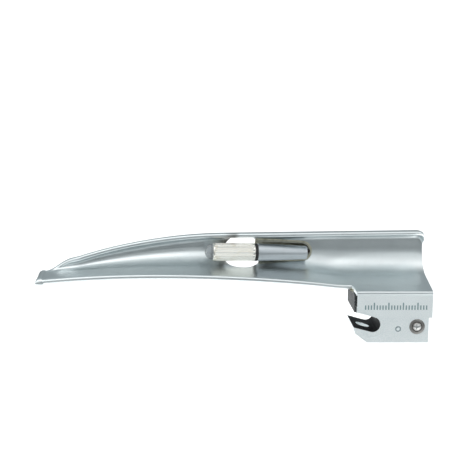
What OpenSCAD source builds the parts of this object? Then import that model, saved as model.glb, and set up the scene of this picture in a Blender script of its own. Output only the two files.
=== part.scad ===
/* [Blade] */
// Distance from the hinge seat to the middle of the beaded tip
tip_reach = 90.3; // [88:0.1:92]
// Thickness of the blade plate at the heel
plate_t = 1.25; // [1.1:0.05:1.4]
// Thickness of the blade plate near the tip
tip_plate_t = 1.5; // [1.3:0.05:1.6]
// Radius of the bead along the tip
bead_r = 1.3; // [1.2:0.05:1.4]
// Distance from the middle plane forward to the spatula's front edge
spatula_front = 3.3; // [3.0:0.1:3.6]
// Distance from the middle plane back to the corner of spatula and web
web_back = 7.3; // [7.0:0.1:7.6]
// Height of the flange's front edge at the heel
flange_top = 23.9; // [23.5:0.1:24.5]
// How far the lip stands forward of the web
lip_reach = 4.4; // [3.6:0.1:5]
// Rise of the spatula from front to back, in degrees
cross_slope = 12.6; // [10:0.2:14]
// Backward lean of the web, in degrees
web_lean = 6; // [3:0.5:8]
// Depth of the web's hollow, as a share of its height
web_bow = 0.045; // [0.02:0.005:0.06]
// Radius of the valley between spatula and web
valley_r = 5; // [4:0.25:6]
// Radius of the bend between web and lip
lip_bend_r = 1.3; // [1:0.1:1.6]
// Radius of the lamp window
window_r = 5.3; // [4.8:0.1:5.5]

/* [Block] */
// Radius of the hook slot, which takes the handle's hinge pin
slot_r = 2.1; // [2:0.05:2.2]
// Tilt of the hook slot, in degrees
slot_tilt = 15; // [12:1:17]
// Thickness of the tongue that enters the handle
tongue_t = 12.9; // [12.4:0.1:13.2]
// Thickness of the upper block
head_t = 14.4; // [13.8:0.1:14.8]
// Distance from the hinge seat to the block's heel face
heel_x = 15.9; // [15.6:0.1:16.2]
// Distance from the hinge seat down to the block's bottom
block_drop = 5.0; // [4.9:0.1:5.2]
// Distance from the hinge seat to the detent balls
detent_x = 12.0; // [11.8:0.1:12.2]
// Distance from the hinge seat to the electrical contact
contact_x = 7.0; // [6.8:0.1:7.2]

/* [Lamp] */
// Diameter of the lamp's fluted cap
cap_d = 5.0; // [4.8:0.1:5.1]
// Length of the fluted cap
cap_len = 11.75; // [11:0.25:12]
// Radius of the lamp's threaded stem
stem_r = 1.40; // [1.35:0.01:1.42]
// Number of flutes round the cap
flutes = 20; // [14:1:24]
// Length of the tapered lamp socket
socket_len = 14; // [13.8:0.1:14.2]

/* [Detent] */
// Radius of a detent ball
ball_r = 1.75; // [1.7:0.01:1.78]
// How far a detent ball stands out of the tongue
ball_proud = 0.6; // [0.4:0.05:0.7]

/* [Hidden] */
$fn = 64;

steel = "#c3cdd0";
brass = "#b8a76a";
nickel = "#ddd8c8";
black = "#1b1b1b";

// ---- Small helpers ----
function clamp01(v) = min(1, max(0, v));
function ease(v) = let (c = clamp01(v)) c * c * (3 - 2 * c);
function mix(a, b, w) = a + (b - a) * w;
function unit(v) = v / norm(v);
function dir(h) = [cos(h), sin(h)];
// Unit normal on the convex side of a path with heading h
function out(h) = [sin(h), -cos(h)];
// Drop of an arc of radius r at distance u from its crest
function sag(r, u) = r - sqrt(max(0, r * r - u * u));

// ---- Blade shape along its length ----
crest_x = -60;
crest_z = 12.98;
tip_arch_r = 340;
heel_arch_r = 480;
// Height of the spatula's front edge over the block
seat_z = 10.2;
block_left = -4.5;
function arch_z(x) =
    crest_z - sag(x < crest_x ? tip_arch_r : heel_arch_r, x - crest_x);
function front_z(x) = mix(arch_z(x), seat_z, ease((x + 14) / 12));
function front_y(x) =
    mix(-spatula_front, -head_t / 2, ease((x - block_left + 0.9) / 0.9));
function slope(x) = mix(3, cross_slope, sin(90 * clamp01((x + 88) / 50)));
function web_y(x) = web_back - 3 * pow(clamp01((-30 - x) / 56), 2);
// The flange's top runs level, bends down towards the tip and is rounded at the heel
top_pitch = 0.0125;
top_bend_x = -41;
top_bend_r = 134;
heel_top_r = 2;
heel_corner_r = 3;
function heel_drop(x, r) = x > heel_x - r ? sag(r, x - heel_x + r) : 0;
function top_z(x) =
    flange_top + top_pitch * (x - 13) - heel_drop(x, heel_top_r)
    - (x < top_bend_x ? sag(top_bend_r, x - top_bend_x) : 0);
function plate(x) = mix(plate_t, tip_plate_t, clamp01((-8 - x) / 80));
function bead_t(x) =
    let (u = abs(x + tip_reach)) u < bead_r ? 2 * sqrt(bead_r * bead_r - u * u) : 0;
function thick(x) = x < -tip_reach ? bead_t(x) : max(plate(x), bead_t(x));
// Height of the bead's swelling over the plate. Its middle lies low in the plate
bead_depth = 0.95;
function swell(x) =
    let (s = thick(x) / 2 - bead_depth) x < -tip_reach ? s : max(0, s);
// How far the flange has risen: 0 at the flat tip, 1 along the blade
function risen(x) = ease((x + 91) / 11);
function full_lip(x) = mix(0.5, lip_reach, ease((x + 89) / 75));
// Height of the lip's front edge over its root
function lip_climb(x) = tan(lip_rise) * mix(0.5, lip_reach, ease((x + 89) / 35));
function lip_len(x) = full_lip(x) - heel_drop(x, heel_corner_r);
lip_rise = 5;

// Front, valley and web corners of the concave side at station x, as [Y, Z]
function front_pt(x) =
    let (y = front_y(x) + thick(x) / 2 * (1 - sin(slope(x))))
    [y, front_z(x) + (y + spatula_front) * tan(slope(x))];
function valley_pt(x) =
    [web_y(x), front_z(x) + (web_y(x) + spatula_front) * tan(slope(x))];
function web_len(x) =
    let (v = valley_pt(x), rise = top_z(x) - plate(x) - v[1] - lip_climb(x))
    max(0.4, rise / cos(web_lean));
function web_head(x) = mix(slope(x), 90 - web_lean, risen(x));
function lip_head(x) = mix(slope(x), 180 - lip_rise, risen(x));

arc1_n = 8;
web_n = 4;
arc2_n = 6;
cap_n = 4;
// Points [Y, Z, heading] on an arc that rounds corner c between headings
function bend(c, h1, h2, r, n) =
    let (back = r * tan((h2 - h1) / 2), centre = c - back * dir(h1) - r * out(h1))
    [for (i = [0:n]) let (h = mix(h1, h2, i / n)) concat(centre + r * out(h), h)];
// Points strictly between a and b, in n steps
function between(a, b, n) = [for (k = [1:n - 1]) mix(a, b, k / n)];
// Bows the web backwards between two heights, and turns its headings to suit
function bowed(path, low, high) = [for (q = path)
    let (
        share = clamp01((q[1] - low) / (high - low)),
        turn = web_bow * PI * sin(360 * share)
    )
    [q[0] + web_bow * (high - low) * pow(sin(180 * share), 2), q[1],
     atan2(sin(q[2]), cos(q[2]) + sin(q[2]) * turn)]];
function inner_path(x) =
    let (
        p = front_pt(x), v = valley_pt(x), w = web_len(x), l = lip_len(x),
        h1 = slope(x), h2 = web_head(x), h3 = lip_head(x),
        r_heel = mix(valley_r, valley_r + 1.5, ease((x + 12) / 7)),
        r1 = min(r_heel, 0.6 * w / max(0.05, tan((h2 - h1) / 2))),
        r2 = min(lip_bend_r, 0.3 * w / max(0.05, tan((h3 - h2) / 2)),
                 0.95 * l / max(0.05, tan((h3 - h2) / 2))),
        c2 = v + w * dir(h2), a1 = bend(v, h1, h2, r1, arc1_n),
        a2 = bend(c2, h2, h3, r2, arc2_n), e = c2 + l * dir(h3),
        path = concat([concat(p, h1)], between(concat(p, h1), a1[0], 3),
                      a1, between(a1[arc1_n], a2[0], web_n), a2, [concat(e, h3)])
    )
    bowed(path, v[1], c2[1]);
// Half-round end of the plate, squared underneath by sq
function edge(p, h, t, a, sq, side) =
    let (
        m = [p[0], p[1]] + t / 2 * out(h),
        k = max(abs(cos(a)), abs(sin(a))),
        s = side * cos(a) > 0 ? mix(1, 1 / k, sq) : 1
    )
    m + side * t / 2 * s * (cos(a) * out(h) - sin(a) * dir(h));
function section(x) =
    let (
        path = inner_path(x), t = thick(x), lift = swell(x),
        n = len(path), square = ease((x - block_left + 0.9) / 0.9),
        inner = [for (q = path) [q[0], q[1]] - lift * out(q[2])],
        outer = [for (q = path) [q[0], q[1]] + (t - lift) * out(q[2])],
        lip_cap = [for (j = [1:cap_n - 1])
            edge(inner[n - 1], path[n - 1][2], t, 180 * j / cap_n, 0, -1)],
        front_cap = [for (j = [1:cap_n - 1])
            edge(inner[0], path[0][2], t, 180 * j / cap_n, square, 1)]
    )
    concat(inner, lip_cap, [for (i = [n - 1:-1:0]) outer[i]], front_cap);

// The tip's end is cut slightly aslant
tip_skew = 0.09;
function skewed(x, y) = x - tip_skew * (y + spatula_front) * ease((-80 - x) / 10);

stations = concat(
    [for (a = [8, 26, 46, 68, 90, 112, 134]) -tip_reach - bead_r * cos(a)],
    [-89.2, -88.7, -88.1, -87.5, -86.8, -86, -85.1, -84, -82.6, -80.6],
    [for (x = [-78:3:-9]) x],
    [-7.2, -6.2, -5.4, -5.2, -5.0, -4.8, -4.6, -4.5, -2],
    [2, 6, 10],
    [for (a = [0, 20, 38, 54, 68, 80, 90]) heel_x - heel_corner_r * (1 - sin(a))]
);

// Closed skin over equal rings, with flat ends
module skin(rings) {
    m = len(rings[0]);
    n = len(rings);
    sides = [for (i = [0:n - 2], j = [0:m - 1])
        let (a = i * m + j, b = i * m + (j + 1) % m)
        each [[a, b, b + m], [a, b + m, a + m]]];
    ends = [[for (j = [m - 1:-1:0]) j], [for (j = [0:m - 1]) (n - 1) * m + j]];
    polyhedron([for (r = rings) each r], concat(sides, ends));
}

// ---- Lamp axis: origin in the socket's mouth, +Z into the socket ----
mouth = [-30.9, 4.7, 17.75];
lamp_yaw = 8;
lamp_dip = 2;
module on_lamp_axis() {
    translate(mouth) rotate([0, 90 + lamp_dip, lamp_yaw]) children();
}
// Plain tube or rod along Z from a to b
module rod(r, a, b) {
    translate([0, 0, a]) cylinder(r = r, h = b - a);
}
module tube(ro, ri, a, b) {
    difference() {
        rod(ro, a, b);
        rod(ri, a - 1, b + 1);
    }
}

cradle_r1 = 3.5;
cradle_r2 = 2.5;
cradle_len = 12.9;
cradle_wall = 0.4;
braze_t = 0.35;
// The cradle lies behind and a little above the lamp's axis
cradle_shift = [0, 1.2, 0.25];
// Tapered body with a rounded end, grown outwards by g
module torpedo(g) {
    translate(cradle_shift) on_lamp_axis() rotate_extrude() polygon(concat(
        [[0, -0.2], [cradle_r1 + g, -0.2]],
        [for (a = [0:15:90]) [0, cradle_len] + (cradle_r2 + g) * dir(a)]
    ));
}

// ---- Blade and block ----
module blade() {
    color(steel) difference() {
        skin([for (x = stations) [for (q = section(x)) [skewed(x, q[0]), q[0], q[1]]]]);
        lamp_window();
        torpedo(braze_t);
        sweep(conduit_line, conduit_r, 12);
    }
}
// The window is milled from the back with a ball-nosed cutter
window_x = -35.1;
window_z = 17.0;
nose_y = 7.4;
module lamp_window() {
    translate([window_x, nose_y, window_z]) rotate([-90, 0, 0]) rotate_extrude() polygon(concat(
        [for (a = [-90:9:0]) window_r * dir(a)], [[window_r, 8], [0, 8]]
    ));
}

tongue_left = -5.1;
tongue_right = 15.15;
step_z = 2.1;
head_nose_z = 5.25;
head_nose_x = 0.6;
// Corners of the lower jaw's slanted nose
jaw_top = [-4.72, -2.5];
jaw_foot_x = -1.5;
slot_len = 12;
relief_r = 3.6;
relief_depth = 0.15;
drain_x = -1.85;
drain_r = 1.9;
module along_y(x, z, r, y1, y2) {
    translate([x, y1, z]) rotate([-90, 0, 0]) cylinder(r = r, h = y2 - y1);
}
module across(t, points) {
    translate([0, t / 2, 0]) rotate([90, 0, 0]) linear_extrude(t) polygon(points);
}
// Everything under the blade's convex side
module under_blade() {
    path = inner_path(2);
    under = [for (q = path) if (q[2] < 80) [q[0], q[1]] + thick(2) * out(q[2])];
    last = under[len(under) - 1];
    translate([-10, 0, 0]) rotate([90, 0, 90]) linear_extrude(40) polygon(concat(
        [[-10, under[0][1]]], under,
        [[last[0], 20], [20, 20], [20, -20], [-10, -20]]
    ));
}
module tongue() {
    difference() {
        across(tongue_t, [
            [tongue_left, 12.5], [tongue_left, -1], jaw_top, [jaw_foot_x, -block_drop],
            [tongue_right, -block_drop], [tongue_right, 12.5],
        ]);
        for (s = [-1, 1])
            along_y(0, 0, relief_r, s * tongue_t / 2 - relief_depth, s * tongue_t / 2 + relief_depth);
    }
}
module head() {
    across(head_t, [
        [block_left, head_nose_z], [head_nose_x, step_z], [heel_x, step_z],
        [heel_x, 15], [block_left, 15],
    ]);
}
module hook_slot() {
    along_y(0, 0, slot_r, -10, 10);
    rotate([0, slot_tilt, 0]) translate([-slot_len, -10, -slot_r]) cube([slot_len, 20, 2 * slot_r]);
}
contact_head_r = 1.3;
bush_flange_r = 2.0;
bush_flange_h = 2.0;
bush_r = 1.25;
bush_top = 3.2;
wire_z = 4.4;
conduit_r = 0.9;
conduit_bore = 0.6;
conduit_end_y = 5.7;
sleeve_r = 2.1;
sleeve_len = 4.55;
detent_z = -0.55;
module contact_bores() {
    translate([contact_x, 0, 0]) {
        rod(bush_flange_r, -block_drop - 1, -block_drop + bush_flange_h);
        rod(bush_r, -block_drop, wire_z + 0.6);
    }
    along_y(contact_x, wire_z, conduit_bore, 0, head_t);
    along_y(contact_x, wire_z, conduit_r, conduit_end_y, head_t);
}
module base_block() {
    color(steel) difference() {
        intersection() {
            union() {
                tongue();
                head();
            }
            under_blade();
        }
        hook_slot();
        translate([drain_x, 0, -block_drop - 1]) cylinder(r = drain_r, h = block_drop);
        contact_bores();
        for (s = [-1, 1])
            along_y(detent_x, detent_z, sleeve_r,
                    s > 0 ? tongue_t / 2 - sleeve_len : -10, s > 0 ? 10 : sleeve_len - tongue_t / 2);
    }
}
// Fillet of braze where the spatula leaves the block
fillet = 0.7;
fillet_len = 8;
module block_braze() {
    z0 = front_pt(tongue_left)[1] - plate_t / cos(cross_slope);
    y0 = front_pt(tongue_left)[0];
    color(brass) translate([tongue_left, y0, z0 - 0.05]) rotate([cross_slope, 0, 0])
        translate([0, fillet_len, 0]) rotate([90, 0, 0])
        linear_extrude(fillet_len) polygon([[0, 0], [-fillet, 0], [0, -fillet]]);
}

// ---- Lamp socket ----
thread_clear = 0.05;
bore_step = 5.2;
insulator_end = 11.0;
insulator_r = 1.25;
wire_turn = 12.6;
wire_r = 0.4;
core_r = 0.2;
socket_taper = 0.6;
// The socket's outer cone, grown outwards by g
module socket_cone(g) {
    cylinder(r1 = cap_d / 2 + g, r2 = cap_d / 2 - socket_taper + g, h = socket_len);
}
// Half space behind a plane that lies d behind the middle of the web's concave face
web_mid = [window_x, web_back + 0.7, 17.5];
web_mid_lean = 3;
module behind_web(d) {
    w = 30;
    translate(web_mid + [0, d, 0]) rotate([-web_mid_lean, 0, 0])
        translate([0, 0, -w / 2]) cube([w, 20, w]);
}
// Slanted hole through which the wire leaves the socket's rear
module wire_exit(r) {
    translate(lamp_point(12.2)) rotate([0, 90, 45]) cylinder(r = r, h = 6);
}
module socket_cradle() {
    color(steel) difference() {
        intersection() {
            torpedo(0);
            behind_web(0.15);
        }
        torpedo(-cradle_wall);
        translate(cradle_shift) on_lamp_axis() rod(cradle_r1 - cradle_wall, -2, 0.3);
        on_lamp_axis() socket_cone(0.02);
        wire_exit(conduit_r);
    }
}
module cradle_braze() {
    color(brass) difference() {
        intersection() {
            torpedo(braze_t);
            behind_web(0.05);
        }
        torpedo(0);
        behind_web(plate_t);
        sweep(conduit_line, conduit_r, 12);
    }
}
// Solder between the socket and the back wall of its cradle
module socket_solder() {
    color(brass) difference() {
        intersection() {
            torpedo(-cradle_wall);
            on_lamp_axis() translate([-1.2, 1, 2]) cube([2.4, 6, 8.5]);
        }
        on_lamp_axis() socket_cone(0);
    }
}
module lamp_socket() {
    color(steel) difference() {
        on_lamp_axis() difference() {
            socket_cone(0);
            rod(stem_r + thread_clear, -1, bore_step);
            rod(insulator_r, bore_step - 0.5, insulator_end);
            rod(wire_r + 0.1, insulator_end - 0.5, wire_turn);
        }
        wire_exit(wire_r + 0.15);
    }
}
module socket_insulator() {
    color("ivory") on_lamp_axis() difference() {
        rod(insulator_r, bore_step, insulator_end);
        rod(0.8, bore_step - 1, insulator_end - 0.4);
        rod(core_r + 0.03, insulator_end - 1, insulator_end + 1);
    }
}
module socket_contact_pin() {
    color(brass) on_lamp_axis() union() {
        rod(0.72, 4.8, 6.4);
        rod(0.3, 6.4, 7.6);
    }
}
module socket_spring() {
    color("silver") on_lamp_axis() tube(0.72, 0.5, 6.45, insulator_end - 0.45);
}

// ---- Lamp ----
washer_t = 0.78;
cap_back = -0.82;
cap_front = cap_back - cap_len;
flute_r = 0.2;
glass_r = 2.15;
glass_tip = cap_front - 2.2;
cap_floor = -2.2;
lead_gap = 0.7;
lead_r = 0.12;
lead_front = -11.2;
module lamp_washer() {
    color(black) on_lamp_axis() tube(2.45, stem_r + thread_clear, cap_back + 0.02, -0.02);
}
module lamp_cap() {
    color(nickel) on_lamp_axis() difference() {
        rod(cap_d / 2, cap_front, cap_back);
        rod(glass_r + 0.05, cap_front - 1, cap_floor);
        rod(stem_r, cap_floor - 1, 0);
        for (i = [0:flutes - 1])
            rotate(360 * i / flutes) translate([cap_d / 2 + 0.05, 0, cap_front - 1])
                cylinder(r = flute_r, h = cap_len + 2, $fn = 24);
    }
}
module lamp_stem() {
    color(brass) on_lamp_axis() difference() {
        union() {
            rod(1.9, cap_floor - 0.8, cap_floor);
            rod(stem_r, cap_floor, 4);
        }
        rod(0.7, -5, 5);
    }
}
module lamp_glass() {
    seat = cap_floor - 0.9;
    dome = [for (a = [0:15:75]) [glass_r * cos(a), cap_front - 0.2 - 2.0 * sin(a)]];
    hollow = [for (a = [75:-15:0]) [1.75 * cos(a), cap_front - 0.2 - 1.5 * sin(a)]];
    color("#cfe0ea", 0.5) on_lamp_axis() difference() {
        rotate_extrude() polygon(concat(
            [[0, seat], [glass_r, seat]], dome, [[0, glass_tip], [0, cap_front - 1.7]],
            hollow, [[1.75, seat - 1.2], [0, seat - 1.2]]
        ));
        for (s = [-1, 1]) translate([s * lead_gap, 0, 0]) rod(lead_r, seat - 3, seat + 1);
    }
}
module lamp_glass_bead() {
    color("#b8d0d8") on_lamp_axis() difference() {
        rod(1.0, -7.4, -6.6);
        for (s = [-1, 1]) translate([s * lead_gap, 0, 0]) rod(lead_r, -9, -5);
    }
}
module lamp_lead_wires() {
    color("silver") on_lamp_axis()
        for (s = [-1, 1]) translate([s * lead_gap, 0, 0]) rod(lead_r, lead_front, cap_floor - 0.9);
}
module lamp_filament() {
    reach = lead_gap + 0.1;
    color("gray") on_lamp_axis()
        translate([-reach, 0, lead_front - 0.15]) rotate([0, 90, 0])
        cylinder(r = 0.15, h = 2 * reach);
}
module lamp_insulator() {
    color(black) on_lamp_axis() difference() {
        union() {
            rod(0.7, 3.2, 4);
            rod(1.2, 4, 4.3);
        }
        rod(0.35, 3, 5);
    }
}
module lamp_tip_contact() {
    color("silver") on_lamp_axis() union() {
        rod(0.35, 3.2, 4.3);
        rod(0.8, 4.3, 4.72);
    }
}

// ---- Wire from the socket to the block ----
function lamp_point(s) =
    mouth + s * [cos(lamp_dip) * cos(lamp_yaw), cos(lamp_dip) * sin(lamp_yaw), -sin(lamp_dip)];
route = [
    [-16.2, 9.0, 17.3], [-14.6, 9.9, 17.1], [-11, 10.1, 16.5], [-6.5, 10.1, 15.4], [-2, 10.1, 13.8],
    [2, 10.1, 11.6], [5, 10.0, 8.6], [6.6, 9.6, 6.0], [7, 8.4, 4.5], [7, 7.2, 4.4],
];
// Catmull-Rom point between b and c
function glide(a, b, c, d, t) =
    0.5 * (2 * b + (c - a) * t + (2 * a - 5 * b + 4 * c - d) * t * t
           + (3 * b - a - 3 * c + d) * t * t * t);
steps = 4;
function smooth_route() = [
    for (i = [0:len(route) - 2], k = [0:steps - 1])
        glide(route[max(0, i - 1)], route[i], route[i + 1],
              route[min(len(route) - 1, i + 2)], k / steps),
    route[len(route) - 1],
];
centre_line = smooth_route();
sweep_ref = unit([1, 1, 1]);
function ring(points, i, r, n) =
    let (
        t = unit(points[min(len(points) - 1, i + 1)] - points[max(0, i - 1)]),
        u = unit(cross(t, sweep_ref)), v = cross(t, u)
    )
    [for (k = [0:n - 1]) points[i] + r * (cos(360 * k / n) * v + sin(360 * k / n) * u)];
module sweep(points, r, n) {
    skin([for (i = [0:len(points) - 1]) ring(points, i, r, n)]);
}
conduit_line = concat(centre_line, [[contact_x, conduit_end_y, wire_z]]);
wire_start = [lamp_point(11.05), lamp_point(12.0), lamp_point(wire_turn) + [0.1, 0.2, 0]];
wire_line = concat(wire_start, conduit_line, [[contact_x, 0.7, wire_z]]);
core_line = concat([lamp_point(10.62)], wire_line, [[contact_x, -0.3, wire_z]]);
module hollow_sweep(points, r_out, r_in, n) {
    last = len(points) - 1;
    difference() {
        sweep(points, r_out, n);
        sweep(concat([2 * points[0] - points[1]], points, [2 * points[last] - points[last - 1]]),
              r_in, n);
    }
}
module wire_conduit() {
    color(steel) hollow_sweep(conduit_line, conduit_r, conduit_bore, 12);
}
module wire_insulation() {
    color("firebrick") hollow_sweep(wire_line, wire_r, core_r + 0.02, 8);
}
module wire_core() {
    color("peru") sweep(core_line, core_r, 6);
}
// Solder saddles between conduit and web
saddles = [[-9, 9.6, 15.9], [-2.5, 9.0, 13.9]];
module saddle() {
    rotate([90, 0, 0]) cylinder(r = 1.4, h = 1.9, center = true);
}
module conduit_solder() {
    color(brass) difference() {
        for (p = saddles) translate(p) rotate([0, 20, 0]) saddle();
        sweep(conduit_line, conduit_r, 12);
    }
}
module block_contact() {
    color(brass) translate([contact_x, 0, 0]) union() {
        rod(contact_head_r, -block_drop + 0.02, -block_drop + 1);
        rod(0.6, -block_drop + 1, wire_z - core_r);
    }
}
module contact_insulator() {
    color(black) translate([contact_x, 0, 0]) difference() {
        union() {
            rod(bush_flange_r, -block_drop, -block_drop + bush_flange_h);
            rod(bush_r, -block_drop + bush_flange_h, bush_top);
        }
        rod(contact_head_r, -block_drop - 1, -block_drop + 1);
        rod(0.6, -block_drop, bush_top + 1);
    }
}

// ---- Detent plungers, drawn for the rear side with the mouth at +Y ----
seat_clear = 0.04;
ball_y = tongue_t / 2 + ball_proud - ball_r;
sleeve_floor = tongue_t / 2 - sleeve_len;
floor_t = 0.3;
module at_detent(s) {
    translate([detent_x, 0, detent_z]) rotate([-90 * s, 0, 0]) children();
}
module detent_sleeve(s) {
    r = ball_r + seat_clear;
    face = tongue_t / 2;
    mouth_a = asin((face - ball_y) / r);
    color("#8f8a84") at_detent(s) rotate_extrude() polygon(concat(
        [[0, sleeve_floor], [sleeve_r, sleeve_floor], [sleeve_r, face]],
        [for (k = [6:-1:0]) let (a = mouth_a * k / 6) [r * cos(a) + 0.01, ball_y + r * sin(a)]],
        [[r + 0.01, sleeve_floor + floor_t], [0, sleeve_floor + floor_t]]
    ));
}
module detent_spring(s) {
    top = ball_y - sqrt(ball_r * ball_r - 1.2 * 1.2) - 0.05;
    color("silver") at_detent(s) tube(1.4, 1.1, sleeve_floor + floor_t + 0.02, top);
}
module detent_ball(s) {
    color("#d8dadb") at_detent(s) translate([0, 0, ball_y]) sphere(r = ball_r);
}
module detent_sleeve_front() detent_sleeve(-1);
module detent_sleeve_rear() detent_sleeve(1);
module detent_spring_front() detent_spring(-1);
module detent_spring_rear() detent_spring(1);
module detent_ball_front() detent_ball(-1);
module detent_ball_rear() detent_ball(1);

blade();
base_block();
block_braze();
socket_cradle();
cradle_braze();
socket_solder();
lamp_socket();
socket_insulator();
socket_contact_pin();
socket_spring();
lamp_washer();
lamp_cap();
lamp_stem();
lamp_glass();
lamp_glass_bead();
lamp_lead_wires();
lamp_filament();
lamp_insulator();
lamp_tip_contact();
wire_conduit();
conduit_solder();
wire_insulation();
wire_core();
block_contact();
contact_insulator();
detent_sleeve_front();
detent_sleeve_rear();
detent_spring_front();
detent_spring_rear();
detent_ball_front();
detent_ball_rear();
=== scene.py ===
"""Looks of a hook-on laryngoscope blade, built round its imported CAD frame.

Shapes are worked out in millimetres, in the CAD frame, and scaled to metres when a mesh is made.
"""
import math

import bmesh
import bpy
from mathutils import Matrix, Vector


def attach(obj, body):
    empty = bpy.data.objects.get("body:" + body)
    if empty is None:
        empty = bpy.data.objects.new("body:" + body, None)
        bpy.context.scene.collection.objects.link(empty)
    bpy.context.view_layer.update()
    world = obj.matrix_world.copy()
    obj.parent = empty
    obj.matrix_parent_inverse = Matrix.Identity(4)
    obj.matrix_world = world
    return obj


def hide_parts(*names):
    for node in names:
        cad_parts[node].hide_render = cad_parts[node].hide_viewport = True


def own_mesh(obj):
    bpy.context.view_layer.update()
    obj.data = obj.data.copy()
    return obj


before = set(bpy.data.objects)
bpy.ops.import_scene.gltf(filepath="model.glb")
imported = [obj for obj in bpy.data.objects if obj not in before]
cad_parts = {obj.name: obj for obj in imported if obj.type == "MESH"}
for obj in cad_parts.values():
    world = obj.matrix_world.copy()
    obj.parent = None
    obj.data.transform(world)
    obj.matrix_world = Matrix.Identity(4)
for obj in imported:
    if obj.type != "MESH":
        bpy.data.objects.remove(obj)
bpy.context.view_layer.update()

MM = 0.001

# ---- Sizes of the blade and the block in millimetres, as in the CAD ----
TIP_REACH = 90.3
PLATE_T = 1.25
TIP_PLATE_T = 1.5
BEAD_R = 1.3
BEAD_DEPTH = 0.95
SPATULA_FRONT = 3.3
WEB_BACK = 7.3
FLANGE_TOP = 23.9
LIP_REACH = 4.4
CROSS_SLOPE = 12.6
WEB_LEAN = 6
VALLEY_R = 5
LIP_BEND_R = 1.3
WEB_BOW = 0.045
CREST_X, CREST_Z = -60, 12.98
TIP_ARCH_R, HEEL_ARCH_R = 340, 480
SEAT_Z = 10.2
BLOCK_LEFT = -4.5
HEAD_T = 14.4
TIP_SKEW = 0.09
HEEL_X = 15.9
HEEL_CORNER_R = 3
HEEL_TOP_R = 2
TOP_PITCH = 0.0125
TOP_BEND_X, TOP_BEND_R = -41, 134
LIP_RISE = 5
WINDOW_X, WINDOW_Y, WINDOW_Z = -35.1, 7.4, 17.0
WINDOW_R = 5.3
TONGUE_T = 12.9
TONGUE_LEFT, TONGUE_RIGHT = -5.1, 15.15
BLOCK_DROP = 5.0
BLOCK_TOP = 15
HEAD_NOSE_X, HEAD_NOSE_Z = 0.6, 5.25
HEAD_FOOT_Z = 2.1
TONGUE_TOP = 12.5
JAW_TOP = (-4.72, -2.5)
JAW_FOOT_X = -1.5
SLOT_R = 2.1
SLOT_TILT = 15
SLOT_LEN = 12
RELIEF_R, RELIEF_DEPTH = 3.6, 0.15
DRAIN_X, DRAIN_R = -1.85, 1.9
STAMP_X, STAMP_Z = 6.9, -1.2
DETENT_X, DETENT_Z = 12.0, -0.55
SLEEVE_R, SLEEVE_LEN = 2.1, 4.55
CONTACT_X = 7.0
WIRE_Z = 4.4
INSULATOR_R = 1.25


# ---- Small helpers ----
def sind(a):
    return math.sin(math.radians(a))


def cosd(a):
    return math.cos(math.radians(a))


def tand(a):
    return math.tan(math.radians(a))


def clamp01(v):
    return min(1.0, max(0.0, v))


def ease(v):
    c = clamp01(v)
    return c * c * (3 - 2 * c)


def mix(a, b, w):
    return a + (b - a) * w


def sag(r, u):
    """Drop of an arc of radius r at distance u from its crest."""
    return r - math.sqrt(max(0, r * r - u * u))


def span(start, end, count):
    """count + 1 evenly spaced values from start to end."""
    return [mix(start, end, i / count) for i in range(count + 1)]


# ---- Meshes ----
def make_object(name, verts, faces, place=Matrix.Identity(4)):
    """A mesh object from points in millimetres, with its faces turned outwards."""
    mesh = bpy.data.meshes.new(name)
    mesh.from_pydata([place @ Vector(v) * MM for v in verts], [], faces)
    work = bmesh.new()
    work.from_mesh(mesh)
    bmesh.ops.remove_doubles(work, verts=work.verts, dist=1e-7)
    bmesh.ops.recalc_face_normals(work, faces=work.faces)
    work.to_mesh(mesh)
    work.free()
    obj = bpy.data.objects.new(name, mesh)
    bpy.context.scene.collection.objects.link(obj)
    return obj


def bake_modifiers(obj):
    graph = bpy.context.evaluated_depsgraph_get()
    obj.data = bpy.data.meshes.new_from_object(obj.evaluated_get(graph))
    obj.modifiers.clear()


def carve(obj, tool, operation="DIFFERENCE"):
    """Cuts tool out of obj, or joins or intersects the two. The tool is used up."""
    cut = obj.modifiers.new("cut", "BOOLEAN")
    cut.operation = operation
    cut.solver = "EXACT"
    cut.object = tool
    bake_modifiers(obj)
    bpy.data.objects.remove(tool)


def round_edges(obj, width, segments, angle):
    """Rounds every edge that is sharper than angle."""
    bevel = obj.modifiers.new("round", "BEVEL")
    bevel.width = width * MM
    bevel.segments = segments
    bevel.limit_method = "ANGLE"
    bevel.angle_limit = math.radians(angle)
    bake_modifiers(obj)


def finish_piece(obj, body, material, stands_for, sharp=35):
    """Shades a piece, gives it its material, and sets it on its CAD body."""
    obj.data.polygons.foreach_set("use_smooth", [True] * len(obj.data.polygons))
    obj.data.set_sharp_from_angle(angle=math.radians(sharp))
    obj.data.materials.clear()
    obj.data.materials.append(material)
    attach(obj, body)
    if stands_for:
        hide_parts(stands_for)
    return obj


def skin(rings, closed=False):
    """Points and faces of a skin over equal rings. An open skin gets flat ends."""
    size = len(rings[0])
    verts = [p for ring in rings for p in ring]
    last = len(rings) if closed else len(rings) - 1
    faces = []
    for i in range(last):
        low, high = i * size, (i + 1) % len(rings) * size
        for j in range(size):
            k = (j + 1) % size
            faces.append((low + j, low + k, high + k, high + j))
    if not closed:
        faces.append(tuple(range(size)))
        faces.append(tuple(range(len(verts) - size, len(verts))))
    return verts, faces


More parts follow.
